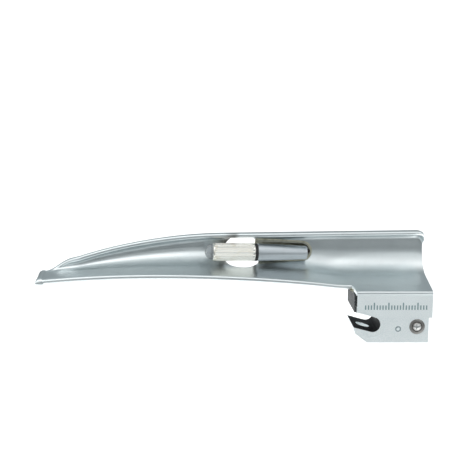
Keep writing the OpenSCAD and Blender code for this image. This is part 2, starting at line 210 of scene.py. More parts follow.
def revolve(profile, steps=64, closed=False, shape=None):
    """Turns [radius, height] points about Z. A radius of 0 is a pole.

    shape(radius, height, angle) may change the radius, for flutes and threads.
    """
    verts, rows, faces = [], [], []
    for radius, height in profile:
        if radius < 1e-6:
            rows.append([len(verts)])
            verts.append((0, 0, height))
            continue
        rows.append(list(range(len(verts), len(verts) + steps)))
        for i in range(steps):
            angle = 2 * math.pi * i / steps
            r = shape(radius, height, angle) if shape else radius
            verts.append((r * math.cos(angle), r * math.sin(angle), height))
    pairs = list(zip(rows, rows[1:]))
    if closed:
        pairs.append((rows[-1], rows[0]))
    for low, high in pairs:
        for i in range(steps):
            j = (i + 1) % steps
            corners = (low[i % len(low)], low[j % len(low)], high[j % len(high)], high[i % len(high)])
            face = tuple(dict.fromkeys(corners))
            if len(face) > 2:
                faces.append(face)
    return verts, faces


def soften(points, size, closed=False, steps=3):
    """Rounds the corners of an outline by about size. The ends of an open one stay."""
    rounded = []
    for i, point in enumerate(points):
        if not closed and i in (0, len(points) - 1):
            rounded.append(Vector(point))
            continue
        corner = Vector(point)
        back = Vector(points[i - 1]) - corner
        ahead = Vector(points[(i + 1) % len(points)]) - corner
        cut = min(size, 0.45 * back.length, 0.45 * ahead.length)
        a = corner + cut * back.normalized()
        b = corner + cut * ahead.normalized()
        for t in span(0, 1, steps):
            rounded.append((1 - t) ** 2 * a + 2 * t * (1 - t) * corner + t * t * b)
    return rounded


def rings_along(points, radii, sides):
    """Rings of points round a path, kept from twisting."""
    points = [Vector(p) for p in points]
    normal = Vector((0.3, 0.5, 0.8))
    rings = []
    for i, point in enumerate(points):
        along = (points[min(i + 1, len(points) - 1)] - points[max(i - 1, 0)]).normalized()
        normal = (normal - along * normal.dot(along)).normalized()
        across = along.cross(normal)
        rings.append([
            point + radii[i] * (math.cos(a) * normal + math.sin(a) * across)
            for a in (2 * math.pi * k / sides for k in range(sides))
        ])
    return rings


def rod_along(points, radius, sides=16):
    """A solid wire with slightly rounded ends."""
    radii = [radius] * len(points)
    radii[0] = radii[-1] = 0.7 * radius
    return skin(rings_along(points, radii, sides))


def pipe_along(points, outer, inner, sides=24):
    outside = rings_along(points, [outer] * len(points), sides)
    inside = rings_along(points, [inner] * len(points), sides)
    return skin(outside + inside[::-1], closed=True)


def glide(route, steps):
    """Catmull-Rom curve through every point of route."""
    pts = [Vector(p) for p in route]
    line = []
    for i in range(len(pts) - 1):
        a, b, c = pts[max(0, i - 1)], pts[i], pts[i + 1]
        d = pts[min(len(pts) - 1, i + 2)]
        for t in span(0, 1, steps)[:-1]:
            line.append(0.5 * (2 * b + (c - a) * t + (2 * a - 5 * b + 4 * c - d) * t * t
                               + (3 * b - a - 3 * c + d) * t ** 3))
    return line + [pts[-1]]


def coil(radius, low, high, turns, wire, flat_turns=0.75):
    """Centre line of a compression spring along Z, with closed ends."""
    low, high = low + wire, high - wire
    line = []
    for i in range(int(turns * 24) + 1):
        turn = i / 24
        rise = clamp01((turn - flat_turns) / (turns - 2 * flat_turns))
        angle = 2 * math.pi * turn
        line.append((radius * math.cos(angle), radius * math.sin(angle), mix(low, high, rise)))
    return line


# ---- Materials ----
def link_all(tree, *pairs):
    for output, target in pairs:
        tree.links.new(output, target)


def start_material(name, colour, roughness, metallic):
    """A principled material, with object coordinates in millimetres."""
    material = bpy.data.materials.new(name)
    material.use_nodes = True
    tree = material.node_tree
    shader = tree.nodes["Principled BSDF"]
    shader.inputs["Base Color"].default_value = (*colour, 1)
    shader.inputs["Roughness"].default_value = roughness
    shader.inputs["Metallic"].default_value = metallic
    coords = tree.nodes.new("ShaderNodeTexCoord")
    scale = tree.nodes.new("ShaderNodeMapping")
    scale.inputs["Scale"].default_value = (1 / MM,) * 3
    tree.links.new(coords.outputs["Object"], scale.inputs["Vector"])
    return material, tree, shader, scale.outputs["Vector"]


def stretched(tree, vector, stretch):
    """The coordinates scaled by stretch, for grain that runs one way."""
    scale = tree.nodes.new("ShaderNodeMapping")
    scale.inputs["Scale"].default_value = stretch
    tree.links.new(vector, scale.inputs["Vector"])
    return scale.outputs["Vector"]


def noise(tree, vector, per_mm, detail=3):
    texture = tree.nodes.new("ShaderNodeTexNoise")
    texture.inputs["Scale"].default_value = per_mm
    texture.inputs["Detail"].default_value = detail
    tree.links.new(vector, texture.inputs["Vector"])
    return texture.outputs["Fac"]


def remap(tree, value, low, high, to_low, to_high):
    node = tree.nodes.new("ShaderNodeMapRange")
    node.interpolation_type = "SMOOTHSTEP"
    settings = {"From Min": low, "From Max": high, "To Min": to_low, "To Max": to_high}
    for key, number in settings.items():
        node.inputs[key].default_value = number
    tree.links.new(value, node.inputs["Value"])
    return node.outputs["Result"]


def blend_colour(tree, factor, colour_a, colour_b):
    """Mixes two colours by factor. A colour is a triple or an output."""
    node = tree.nodes.new("ShaderNodeMix")
    node.data_type = "RGBA"
    tree.links.new(factor, node.inputs[0])
    for socket, colour in zip((node.inputs[6], node.inputs[7]), (colour_a, colour_b)):
        if isinstance(colour, tuple):
            socket.default_value = (*colour, 1)
        else:
            tree.links.new(colour, socket)
    return node.outputs[2]


def calc(tree, operation, *values):
    """A Math node over numbers and outputs."""
    node = tree.nodes.new("ShaderNodeMath")
    node.operation = operation
    for socket, value in zip(node.inputs, values):
        if isinstance(value, (int, float)):
            socket.default_value = value
        else:
            tree.links.new(value, socket)
    return node.outputs[0]


def add_bump(tree, shader, height, depth_mm, strength):
    bump = tree.nodes.new("ShaderNodeBump")
    bump.inputs["Strength"].default_value = strength
    bump.inputs["Distance"].default_value = depth_mm * MM
    link_all(tree, (height, bump.inputs["Height"]), (bump.outputs["Normal"], shader.inputs["Normal"]))


def split(tree, vector):
    parts = tree.nodes.new("ShaderNodeSeparateXYZ")
    tree.links.new(vector, parts.inputs[0])
    return parts.outputs


def plane_distance(tree, a, b):
    """Length of a step of a one way and b at right angles to it."""
    squares = calc(tree, "ADD", calc(tree, "POWER", a, 2), calc(tree, "POWER", b, 2))
    return calc(tree, "SQRT", squares)


def all_of(tree, *masks):
    """Product of masks that run from 0 to 1."""
    product = masks[0]
    for mask in masks[1:]:
        product = calc(tree, "MULTIPLY", product, mask)
    return product


def metal(name, colour, roughness, grain=6.0, bump=0.3, depth=0.01, stretch=(1, 1, 1),
          stain=None, stain_share=0.25, extra=None):
    """Metal with a fine grain, uneven gloss, and faint stains in a second colour.

    extra takes the tree, the coordinates and the tint so far, and returns a new tint.
    """
    material, tree, shader, vector = start_material(name, colour, roughness, 1.0)
    grain_noise = noise(tree, stretched(tree, vector, stretch), grain)
    cloud = noise(tree, vector, 0.22, 4)
    rough = calc(tree, "MULTIPLY_ADD", cloud, 0.14, roughness - 0.07)
    rough = calc(tree, "MULTIPLY_ADD", grain_noise, 0.10, calc(tree, "SUBTRACT", rough, 0.05))
    second = stain or tuple(0.86 * c for c in colour)
    share = remap(tree, noise(tree, vector, 0.6, 5), 0.45, 0.8, 0.0, stain_share)
    tint = blend_colour(tree, share, colour, second)
    if extra:
        tint = extra(tree, vector, tint)
    link_all(tree, (rough, shader.inputs["Roughness"]), (tint, shader.inputs["Base Color"]))
    add_bump(tree, shader, grain_noise, depth, bump)
    return material


def lamp_shade_tint(tree, vector, tint):
    """Painted shade of the lamp, a dark brown patch on the blade beside the front of the lamp's window."""
    x, _, z = split(tree, vector)
    across = calc(tree, "SUBTRACT", x, WINDOW_X)
    rise = calc(tree, "SUBTRACT", z, WINDOW_Z)
    near = remap(tree, plane_distance(tree, across, rise), 5.2, 8.2, 0.85, 0.0)
    front = remap(tree, x, -37.5, -35.5, 1.0, 0.0)
    on_web = remap(tree, z, 14.6, 15.6, 0.0, 1.0)
    # Dark brown painted shade of the lamp, strongest near the window's front edge
    return blend_colour(tree, all_of(tree, near, front, on_web), tint, (0.10, 0.09, 0.08))


def ball_rim_shade(tree, vector, tint):
    """Painted shade on a detent ball, darker towards its rim by the sleeve and lighter at its middle."""
    reach = calc(tree, "ABSOLUTE", split(tree, vector)[1])
    return blend_colour(tree, remap(tree, reach, 6.5, 7.03, 1.0, 0.0), tint, (0.06, 0.055, 0.05))


def slot_shade(tree, x, y, z):
    """1 on the walls of the hook slot, where near-black shade is painted."""
    along = calc(tree, "SUBTRACT", calc(tree, "MULTIPLY", x, cosd(SLOT_TILT)),
                 calc(tree, "MULTIPLY", z, sind(SLOT_TILT)))
    across = calc(tree, "ADD", calc(tree, "MULTIPLY", x, sind(SLOT_TILT)),
                  calc(tree, "MULTIPLY", z, cosd(SLOT_TILT)))
    from_axis = plane_distance(tree, calc(tree, "MAXIMUM", along, 0), across)
    on_wall = calc(tree, "LESS_THAN", from_axis, SLOT_R + 0.06)
    inside = calc(tree, "LESS_THAN", calc(tree, "ABSOLUTE", y), TONGUE_T / 2 - 0.19)
    return all_of(tree, on_wall, inside)


def stroke_row(tree, x, y, z):
    """1 on a row of etched strokes along the front of the head, every fifth one taller."""
    pitch, width = 0.78, 0.46
    left, right = -2.4, 14.75
    foot, height, extra_height = 4.35, 5.55, 0.75
    stroke = calc(tree, "LESS_THAN", calc(tree, "FRACT", calc(tree, "DIVIDE", x, pitch)), width)
    tall = calc(tree, "LESS_THAN", calc(tree, "FRACT", calc(tree, "DIVIDE", x, pitch * 5)), 0.2)
    return all_of(
        tree, stroke,
        calc(tree, "GREATER_THAN", x, left), calc(tree, "LESS_THAN", x, right),
        calc(tree, "GREATER_THAN", z, foot),
        calc(tree, "LESS_THAN", z, calc(tree, "MULTIPLY_ADD", tall, extra_height, height)),
        calc(tree, "LESS_THAN", y, 0.1 - HEAD_T / 2))


def stamped_ring(tree, x, z):
    """1 on a small ring round the dimple in the tongue's faces."""
    reach = plane_distance(tree, calc(tree, "SUBTRACT", x, STAMP_X), calc(tree, "SUBTRACT", z, STAMP_Z))
    return all_of(tree, calc(tree, "GREATER_THAN", reach, 0.45), calc(tree, "LESS_THAN", reach, 0.8))


def block_metal():
    """Bead-blasted steel, etched on the front, with near-black painted shade in the slot and on the left
    end.
    """
    material, tree, shader, vector = start_material("block_steel", (0.9, 0.94, 0.95), 0.55, 0.9)
    grain = noise(tree, vector, 5.0, 2)
    rough = calc(tree, "MULTIPLY_ADD", noise(tree, vector, 0.35, 4), 0.16, 0.50)
    x, y, z = split(tree, vector)
    mottle = remap(tree, grain, 0.35, 0.65, 0, 1)
    tint = blend_colour(tree, mottle, (0.84, 0.895, 0.905), (0.94, 0.97, 0.975))
    wear_and_shade_patches = remap(tree, grain, 0.3, 0.6, 0.8, 1.0)
    tint = blend_colour(tree, all_of(tree, stroke_row(tree, x, y, z), wear_and_shade_patches), tint, (0.24, 0.35, 0.37))
    tint = blend_colour(tree, all_of(tree, stamped_ring(tree, x, z), wear_and_shade_patches), tint, (0.30, 0.37, 0.39))
    # Painted shade on the left end face, broken into patches
    left_end_shade = all_of(tree, calc(tree, "LESS_THAN", x, -4.42), calc(tree, "GREATER_THAN", z, 2.6), wear_and_shade_patches)
    # Both painted shades, slot and left end, are drawn in near-black
    dark = calc(tree, "MAXIMUM", slot_shade(tree, x, y, z), left_end_shade)
    tint = blend_colour(tree, dark, tint, (0.035, 0.035, 0.037))
    link_all(tree, (rough, shader.inputs["Roughness"]), (tint, shader.inputs["Base Color"]))
    add_bump(tree, shader, grain, 0.02, 0.35)
    return material


def polymer(name, colour, roughness, grain=3.0, speck=0.5):
    """Rubber or moulded plastic with a dusty, slightly pitted skin."""
    material, tree, shader, vector = start_material(name, colour, roughness, 0.0)
    pits = noise(tree, vector, grain, 4)
    dusty = tuple(min(1.0, c + 0.06 * speck) for c in colour)
    tint = blend_colour(tree, remap(tree, pits, 0.4, 0.75, 0, 1), colour, dusty)
    rough = calc(tree, "MULTIPLY_ADD", pits, 0.2, roughness - 0.1)
    link_all(tree, (tint, shader.inputs["Base Color"]), (rough, shader.inputs["Roughness"]))
    add_bump(tree, shader, pits, 0.02, 0.25)
    return material


def glass(name, colour, roughness):
    """Clear glass with slight waves from blowing."""
    material, tree, shader, vector = start_material(name, colour, roughness, 0.0)
    shader.inputs["Transmission Weight"].default_value = 0.8
    shader.inputs["IOR"].default_value = 1.5
    waves = noise(tree, vector, 0.8, 1)
    smear = calc(tree, "MULTIPLY_ADD", waves, 0.06, roughness)
    tree.links.new(smear, shader.inputs["Roughness"])
    add_bump(tree, shader, waves, 0.03, 0.3)
    return material


MATERIALS = {
    "satin_steel": metal("satin_steel", (0.79, 0.835, 0.845), 0.33, grain=7, bump=0.22, depth=0.012,
                         stain=(0.70, 0.73, 0.735)),
    # The blade's steel carries the lamp's painted shade beside the window
    "blade_steel": metal("blade_steel", (0.80, 0.845, 0.855), 0.31, grain=7, bump=0.22, depth=0.012,
                         stain=(0.70, 0.73, 0.735), extra=lamp_shade_tint),
    "socket_steel": metal("socket_steel", (0.58, 0.62, 0.65), 0.40, grain=7, bump=0.15, depth=0.01,
                          stain=(0.45, 0.47, 0.47)),
    "smoked_steel": metal("smoked_steel", (0.55, 0.54, 0.46), 0.4, grain=5, bump=0.3,
                          stain=(0.30, 0.27, 0.20), stain_share=0.7),
    "block_steel": block_metal(),
    # The ball's steel is painted darker towards its rim, as shade
    "ball_steel": metal("ball_steel", (0.74, 0.74, 0.73), 0.22, grain=9, bump=0.06, depth=0.004,
                        extra=ball_rim_shade),
    "sleeve_steel": metal("sleeve_steel", (0.40, 0.385, 0.37), 0.34, grain=6, bump=0.3,
                          stain=(0.16, 0.14, 0.13), stain_share=0.8),
    "spring_steel": metal("spring_steel", (0.55, 0.55, 0.54), 0.3, grain=8, stretch=(1, 1, 0.2)),
    "braze": metal("braze", (0.80, 0.77, 0.62), 0.42, grain=3, bump=0.5, depth=0.03,
                   stain=(0.42, 0.40, 0.29), stain_share=0.8),
    "contact_brass": metal("contact_brass", (0.80, 0.66, 0.36), 0.25, grain=6, stain=(0.48, 0.36, 0.2)),
    "nickel_cap": metal("nickel_cap", (0.97, 0.95, 0.89), 0.24, grain=5, bump=0.12, stretch=(0.15, 1, 1),
                        stain=(0.80, 0.73, 0.56), stain_share=0.55),
    "black_insulator": polymer("black_insulator", (0.022, 0.022, 0.023), 0.5),
    "pale_insulator": polymer("pale_insulator", (0.80, 0.77, 0.68), 0.55),
    "black_rubber": polymer("black_rubber", (0.015, 0.015, 0.016), 0.6, grain=5),
    "lamp_glass": glass("lamp_glass", (0.93, 0.975, 1.0), 0.0),
    "bead_glass": glass("bead_glass", (0.55, 0.70, 0.78), 0.05),
    "filament": metal("filament", (0.30, 0.30, 0.31), 0.4, grain=12),
    "solder": metal("solder", (0.70, 0.70, 0.69), 0.36, grain=1.5, bump=0.5, depth=0.06,
                    stain=(0.42, 0.42, 0.40), stain_share=0.7),
    "wire_jacket": polymer("wire_jacket", (0.075, 0.045, 0.038), 0.45, speck=0.4),
    "copper": metal("copper", (0.76, 0.40, 0.25), 0.3, stain=(0.42, 0.2, 0.13), stain_share=0.6),
}


def build(name, geometry, body, slot, stands_for=None, place=Matrix.Identity(4), sharp=35,
          material=None):
    """Makes a finished piece from the points and faces of one of the shape helpers."""
    obj = make_object(name, *geometry, place)
    return finish_piece(obj, body, MATERIALS[material or slot], stands_for or (), sharp)


# ---- Blade shape along its length, as in the CAD ----
def heading(h):
    return Vector((cosd(h), sind(h)))


def outward(h):
    """Unit normal on the convex side of a path with heading h."""
    return Vector((sind(h), -cosd(h)))


def on_block(x):
    """0 ahead of the block, 1 over it."""
    return ease((x - BLOCK_LEFT + 0.9) / 0.9)


def front_z(x):
    arch = CREST_Z - sag(TIP_ARCH_R if x < CREST_X else HEEL_ARCH_R, x - CREST_X)
    return mix(arch, SEAT_Z, ease((x + 14) / 12))


def slope(x):
    return mix(3, CROSS_SLOPE, sind(90 * clamp01((x + 88) / 50)))


def web_y(x):
    return WEB_BACK - 3 * clamp01((-30 - x) / 56) ** 2


def heel_drop(x, radius):
    """Drop of a corner of the given radius that ends at the heel."""
    over = x - HEEL_X + radius
    return sag(radius, over) if over > 0 else 0


def top_z(x):
    bend_drop = sag(TOP_BEND_R, x - TOP_BEND_X) if x < TOP_BEND_X else 0
    return FLANGE_TOP + TOP_PITCH * (x - 13) - heel_drop(x, HEEL_TOP_R) - bend_drop


def plate(x):
    return mix(PLATE_T, TIP_PLATE_T, clamp01((-8 - x) / 80))


def thick(x):
    u = abs(x + TIP_REACH)
    bead = 2 * math.sqrt(BEAD_R ** 2 - u * u) if u < BEAD_R else 0
    return bead if x < -TIP_REACH else max(plate(x), bead)


def swell(x):
    """Height of the bead's swelling over the plate. Its middle lies low in the plate."""
    height = thick(x) / 2 - BEAD_DEPTH
    return height if x < -TIP_REACH else max(0, height)


def full_lip(x):
    return mix(0.5, LIP_REACH, ease((x + 89) / 75))


def lip_climb(x):
    """Height of the lip's front edge over its root."""
    return tand(LIP_RISE) * mix(0.5, LIP_REACH, ease((x + 89) / 35))


def lip_len(x):
    return full_lip(x) - heel_drop(x, HEEL_CORNER_R)


def bend(corner, h1, h2, r, count):
    """(point, heading) along an arc of radius r that rounds a corner."""
    back = r * tand((h2 - h1) / 2)
    centre = corner - back * heading(h1) - r * outward(h1)
    return [(centre + r * outward(h), h) for h in span(h1, h2, count)]


def straight(a, b, h, count):
    """(point, heading) strictly between two points."""
    return [(mix(a, b, t), h) for t in span(0, 1, count)[1:-1]]


def bowed(path, low, high):
    """Bows the web backwards between two heights, and turns its headings to suit."""
    out = []
    for point, h in path:
        share = clamp01((point.y - low) / (high - low))
        rise = WEB_BOW * math.pi * sind(360 * share)
        shifted = point + Vector((WEB_BOW * (high - low) * sind(180 * share) ** 2, 0))
        turned = math.degrees(math.atan2(sind(h), cosd(h) + sind(h) * rise))
        out.append((shifted, turned))
    return out


def inner_path(x):
    """(point, heading) over the concave side at station x, from the front edge to the lip."""
    t, h1 = thick(x), slope(x)
    front_y = mix(-SPATULA_FRONT, -HEAD_T / 2, on_block(x))
    y = front_y + t / 2 * (1 - sind(h1))
    start = Vector((y, front_z(x) + (y + SPATULA_FRONT) * tand(h1)))
    valley = Vector((web_y(x), front_z(x) + (web_y(x) + SPATULA_FRONT) * tand(h1)))
    rise = top_z(x) - plate(x) - valley.y - lip_climb(x)
    web = max(0.4, rise / cosd(WEB_LEAN))
    risen = ease((x + 91) / 11)
    h2 = mix(h1, 90 - WEB_LEAN, risen)
    h3 = mix(h1, 180 - LIP_RISE, risen)
    lip = lip_len(x)
    bend_1 = max(0.05, tand((h2 - h1) / 2))
    bend_2 = max(0.05, tand((h3 - h2) / 2))
    r1 = min(mix(VALLEY_R, VALLEY_R + 1.5, ease((x + 12) / 7)), 0.6 * web / bend_1)
    r2 = min(LIP_BEND_R, 0.3 * web / bend_2, 0.95 * lip / bend_2)
    corner = valley + web * heading(h2)
    end = corner + lip * heading(h3)
    arc_1 = bend(valley, h1, h2, r1, 36)
    arc_2 = bend(corner, h2, h3, r2, 18)
    path = [(start, h1)] + straight(start, arc_1[0][0], h1, 10) + arc_1
    path += straight(arc_1[-1][0], arc_2[0][0], h2, 14) + arc_2
    path += straight(arc_2[-1][0], end, h3, 5) + [(end, h3)]
    return bowed(path, valley.y, corner.y)


def cap(point, h, t, squared, side, count=14):
    """Half-round end of the plate, squared underneath where it lies on the block."""
    middle = point + t / 2 * outward(h)
    ring = []
    for a in span(0, 180, count)[1:-1]:
        corner = 1 / max(abs(cosd(a)), abs(sind(a)))
        reach = mix(1, corner, squared) if side * cosd(a) > 0 else 1
        ring.append(middle + side * t / 2 * reach * (cosd(a) * outward(h) - sind(a) * heading(h)))
    return ring


def blade_section(x):
    path, t = inner_path(x), thick(x)
    lift = swell(x)
    inner = [p - lift * outward(h) for p, h in path]
    outer = [p + (t - lift) * outward(h) for p, h in path]
    lip_cap = cap(inner[-1], path[-1][1], t, 0, -1)
    front_cap = cap(inner[0], path[0][1], t, on_block(x), 1)
    return inner + lip_cap + outer[::-1] + front_cap


def skewed(x, y):
    """X of a point at station x. The tip's end is cut slightly aslant."""
    return x - TIP_SKEW * (y + SPATULA_FRONT) * ease((-80 - x) / 10)


def blade_stations():
    bead = [-TIP_REACH - BEAD_R * cosd(a) for a in span(6, 130, 22)]
    rise = span(bead[-1] + 0.1, -80.4, 44)
    body = span(-80, -8.0, 120)
    step = span(-7.6, -2.6, 50)
    seat = span(-2.0, 12.6, 24)
    corner = [HEEL_X - HEEL_CORNER_R * (1 - sind(a)) for a in span(0, 90, 16)]
    return bead + rise + body + step + seat + corner


# ---- Lamp axis and the cuts for its socket ----
MOUTH = Vector((-30.9, 4.7, 17.75))
LAMP_AXIS = (Matrix.Translation(MOUTH) @ Matrix.Rotation(math.radians(8), 4, "Z")
             @ Matrix.Rotation(math.radians(92), 4, "Y"))
CRADLE_AXIS = Matrix.Translation((0, 1.2, 0.25)) @ LAMP_AXIS
CRADLE_R1, CRADLE_R2, CRADLE_LEN = 3.5, 2.5, 12.9
BRAZE_T = 0.35


def lamp_point(s):
    return LAMP_AXIS @ Vector((0, 0, s))


def torpedo(grow):
    """Tapered body with a rounded end, which the socket's recess is cut with."""
    mouth = [(0, -0.2), (CRADLE_R1 + grow, -0.2)]
    r = CRADLE_R2 + grow
    end = [(r * cosd(a), CRADLE_LEN + r * sind(a)) for a in span(0, 90, 16)]
    return make_object("tool", *revolve(mouth + end, 128), CRADLE_AXIS)


def window_tool():
    """Ball-nosed cutter that mills the window from the back."""
    nose = [(WINDOW_R * cosd(a), WINDOW_R * sind(a)) for a in span(-90, 0, 24)]
    shank = [(WINDOW_R, 8), (0, 8)]
    centre = Matrix.Translation((WINDOW_X, WINDOW_Y, WINDOW_Z))
    place = centre @ Matrix.Rotation(math.radians(-90), 4, "X")
    return make_object("tool", *revolve(nose + shank, 128), place)


def build_blade():
    rings = [[(skewed(x, p.x), p.x, p.y) for p in blade_section(x)] for x in blade_stations()]
    blade = make_object("blade_plate", *skin(rings))
    carve(blade, window_tool())
    carve(blade, torpedo(BRAZE_T))
    carve(blade, make_object("tool", *rod_along(conduit_line(), CONDUIT_R, 24)))
    return finish_piece(blade, "frame", MATERIALS["blade_steel"], "blade", 28)


# ---- Base block ----
def prism(points, y1, y2):
    """An outline in X and Z, extruded along Y."""
    return skin([[(x, y, z) for x, z in points] for y in (y1, y2)])


def drum(x, z, r, y1, y2, steps=96):
    """A cylinder along Y."""
    return prism([(x + r * cosd(a), z + r * sind(a)) for a in span(0, 360, steps)[:-1]], y1, y2)


def post(x, r, z1, z2, steps=72):
    """An upright cylinder in the middle plane."""
    place = Matrix.Translation((x, 0, 0))
    return make_object("tool", *revolve([(0, z1), (r, z1), (r, z2), (0, z2)], steps), place)


def under_blade():
    """Everything under the blade's convex side, over the block."""
    x = 2
    under = [p + thick(x) * outward(h) for p, h in inner_path(x) if h < 80]
    outline = [(-10, under[0].y)] + [tuple(p) for p in under]
    outline += [(under[-1].x, 20), (20, 20), (20, -20), (-10, -20)]
    return make_object("tool", *skin([[(x, y, z) for y, z in outline] for x in (-10, 30)]))


def tongue_and_head():
    """The thinner tongue and the thicker head over it, as one solid."""
    tongue = [
        (TONGUE_LEFT, TONGUE_TOP), (TONGUE_LEFT, -1), JAW_TOP, (JAW_FOOT_X, -BLOCK_DROP),
        (TONGUE_RIGHT, -BLOCK_DROP), (TONGUE_RIGHT, TONGUE_TOP),
    ]
    head = [
        (BLOCK_LEFT, HEAD_NOSE_Z), (HEAD_NOSE_X, HEAD_FOOT_Z), (HEEL_X, HEAD_FOOT_Z),
        (HEEL_X, BLOCK_TOP), (BLOCK_LEFT, BLOCK_TOP),
    ]
    block = make_object("block_body", *prism(tongue, -TONGUE_T / 2, TONGUE_T / 2))
    carve(block, make_object("tool", *prism(head, -HEAD_T / 2, HEAD_T / 2)), "UNION")
    return block


def carve_side(block, side):
    """The relief round the hook slot, the plunger's bore and the dimple, on one face of the tongue."""
    face = side * TONGUE_T / 2
    bore_floor = side * (TONGUE_T / 2 - SLEEVE_LEN)
    carve(block, make_object("tool", *drum(0, 0, RELIEF_R, face - RELIEF_DEPTH, face + RELIEF_DEPTH)))
    carve(block, make_object("tool", *drum(DETENT_X, DETENT_Z, SLEEVE_R, bore_floor, side * 10)))
    dimple = [(0.55 * cosd(a), 0.55 * sind(a)) for a in span(-90, 90, 12)]
    place = (Matrix.Translation((STAMP_X, face + side * 0.25, STAMP_Z))
             @ Matrix.Rotation(math.radians(90), 4, "X"))
    carve(block, make_object("tool", *revolve(dimple, 32), place))


def build_block():
    block = tongue_and_head()
    carve(block, under_blade(), "INTERSECT")
    for side in (-1, 1):
        carve_side(block, side)
    carve(block, make_object("tool", *drum(0, 0, SLOT_R, -10, 10)))
    slot = [(-SLOT_LEN, -SLOT_R), (0, -SLOT_R), (0, SLOT_R), (-SLOT_LEN, SLOT_R)]
    tilt = Matrix.Rotation(math.radians(SLOT_TILT), 4, "Y")
    carve(block, make_object("tool", *prism(slot, -10, 10), tilt))
    carve(block, post(DRAIN_X, DRAIN_R, -6, -0.9))
    carve(block, post(CONTACT_X, 2.0, -6, -BLOCK_DROP + 2))
    carve(block, post(CONTACT_X, 1.25, -BLOCK_DROP + 1, 5.0))
    carve(block, make_object("tool", *drum(CONTACT_X, WIRE_Z, 0.6, 0, 6)))
    carve(block, make_object("tool", *drum(CONTACT_X, WIRE_Z, CONDUIT_R, 5.7, HEAD_T)))
    round_edges(block, 0.14, 3, 40)
    return finish_piece(block, "frame", MATERIALS["block_steel"], "base_block", 40)


def build_block_braze():
    """Concave fillet of braze where the spatula leaves the block."""
    size = 0.7
    bow = [(-size * (1 - sind(a)), -size * (1 - cosd(a))) for a in span(0, 90, 10)]
    outline = [(0.0, 0.0)] + bow
    start = inner_path(TONGUE_LEFT)[0][0]
    z0 = start.y - PLATE_T / cosd(CROSS_SLOPE)
    rings = []
    for i, y in enumerate(span(0.15, 8, 24)):
        wave = 1 + 0.05 * math.sin(2.1 * i) + 0.04 * math.sin(0.9 * i + 1)
        rings.append([(x * wave, y, z * wave) for x, z in outline])
    place = (Matrix.Translation((TONGUE_LEFT, start.x, z0 - 0.02))
             @ Matrix.Rotation(math.radians(CROSS_SLOPE), 4, "X"))
    return build("block_braze_fillet", skin(rings), "frame", "braze", "block_braze", place)


# ---- Lamp socket ----
CAP_D = 5.0
STEM_R = 1.40
SOCKET_BORE = STEM_R + 0.05
SOCKET_LEN = 14
SOCKET_TAPER = 0.6
PITCH = 0.63
THREAD_DEPTH = 0.13


def helix(share):
    """0 at the thread's root and 1 at its crest, for a share of one turn."""
    return 0.5 + 0.5 * math.cos(2 * math.pi * share)


def thread_height(height, angle):
    """Height of the thread's form at a place on the lamp's axis, from 0 to 1."""
    return helix(height / PITCH - angle / (2 * math.pi))


def socket_bore(radius, height, angle):
    """Thread inside the socket's mouth."""
    first, last = 0.25, 4.9
    if radius > SOCKET_BORE + 0.01 or not first < height < last:
        return radius
    fade = min(1, (height - first) / 0.3, (last - height) / 0.3)
    return radius + THREAD_DEPTH * fade * thread_height(height, angle)


def build_socket():
    """The tube, with its threaded mouth, the bore of its insulator and the hole for the wire."""
    tail = (CAP_D / 2 - SOCKET_TAPER, SOCKET_LEN)
    outside = soften([(0, SOCKET_LEN), tail, (CAP_D / 2, 0), (SOCKET_BORE, 0)], 0.22)
    chamfer = [Vector((SOCKET_BORE + 0.1, 0))]
    inside = [(SOCKET_BORE, s) for s in span(0.12, 5.1, 84)]
    deep = [
        (SOCKET_BORE, 5.2), (INSULATOR_R, 5.2), (INSULATOR_R, 11), (0.5, 11), (0.5, 12.6), (0, 12.6),
    ]
    profile = outside[:-1] + chamfer + inside + deep
    return build("lamp_socket_tube", revolve(profile, 96, shape=socket_bore), "frame", "satin_steel",
                 "lamp_socket", LAMP_AXIS, material="socket_steel")


# ---- Lamp ----
CAP_BACK = -0.82
CAP_LEN = 11.75
CAP_FRONT = CAP_BACK - CAP_LEN
FLUTES = 20
GLASS_R = 2.15
CAP_FLOOR = -2.2
LEAD_GAP = 0.7
LEAD_FRONT = -11.2


def fluted(radius, height, angle):
    """Radius of the cap with its flutes, which fade out near both ends."""
    if radius < 2.4:
        return radius
    fade = ease((height - CAP_FRONT - 0.35) / 0.3) * ease((CAP_BACK - 0.25 - height) / 0.3)
    turn = FLUTES * angle / (2 * math.pi)
    across = abs(turn - round(turn)) * 2
    groove = max(0, 1 - (across / 0.62) ** 2)
    return radius - 0.15 * fade * groove


def build_cap():
    r = CAP_D / 2
    edge = 0.12
    outer = [(r - edge, CAP_FRONT), (r - 0.03, CAP_FRONT + 0.04), (r, CAP_FRONT + edge)]
    outer += [(r, s) for s in span(CAP_FRONT + 0.3, CAP_BACK - 0.2, 36)]
    outer += [(r, CAP_BACK - edge), (r - 0.03, CAP_BACK - 0.04), (r - edge, CAP_BACK)]
    inner = [
        (STEM_R, CAP_BACK), (STEM_R, CAP_FLOOR), (GLASS_R + 0.05, CAP_FLOOR),
        (GLASS_R + 0.05, CAP_FRONT + 0.15), (GLASS_R + 0.12, CAP_FRONT),
    ]
    turned = revolve(outer + inner, 240, closed=True, shape=fluted)
    return build("lamp_cap_fluted", turned, "lamp", "nickel_cap", "lamp_cap", LAMP_AXIS, sharp=50)


def stem_thread(radius, height, angle):
    """Thread on the lamp's stem."""
    first, last = -0.6, 3.9
    if not 1.37 < radius < 1.45 or height < first:
        return radius
    fade = min(1, (height - first) / 0.5, (last - height) / 0.4)
    return radius - THREAD_DEPTH * max(0, fade) * (1 - thread_height(height, angle))


